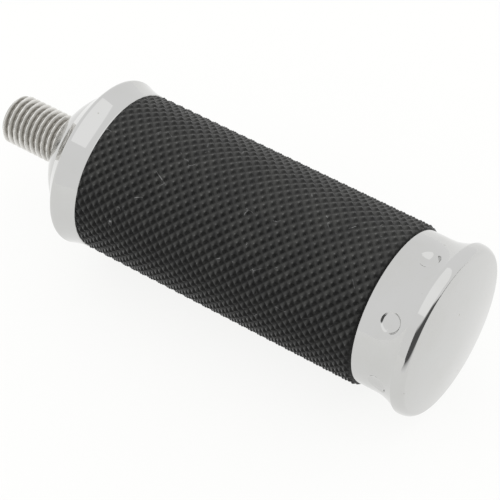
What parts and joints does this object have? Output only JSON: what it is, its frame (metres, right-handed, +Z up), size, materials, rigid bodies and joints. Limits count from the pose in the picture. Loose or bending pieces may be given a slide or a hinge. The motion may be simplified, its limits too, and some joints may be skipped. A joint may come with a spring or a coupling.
{
  "type": "foot peg",
  "caption": "Round foot peg for a motorcycle foot lever: a threaded stud, a chromed flanged collar, a diamond-knurled rubber sleeve and a dimpled, flared end cap.",
  "frame": {"origin": "on the peg's axis, in the plane of the shoulder that seats against the lever", "axes": "+X runs out along the peg from the shoulder to the end cap, so the threaded stud points along -X. +Z is up. The peg is round about X, apart from the dimples and the hex sockets."},
  "size_m": [0.0797, 0.0266, 0.0266],
  "materials": {
    "chrome_plate": "polished",
    "sleeve_rubber": "matte",
    "stud_steel": "as machined"
  },
  "bodies": {
    "root": {"spindle": "chrome_plate", "inner_collar": "chrome_plate", "end_cap": "chrome_plate", "grip_sleeve": "sleeve_rubber", "mounting_stud": "stud_steel", "joining_stud": "stud_steel"}
  },
  "joints": []
}
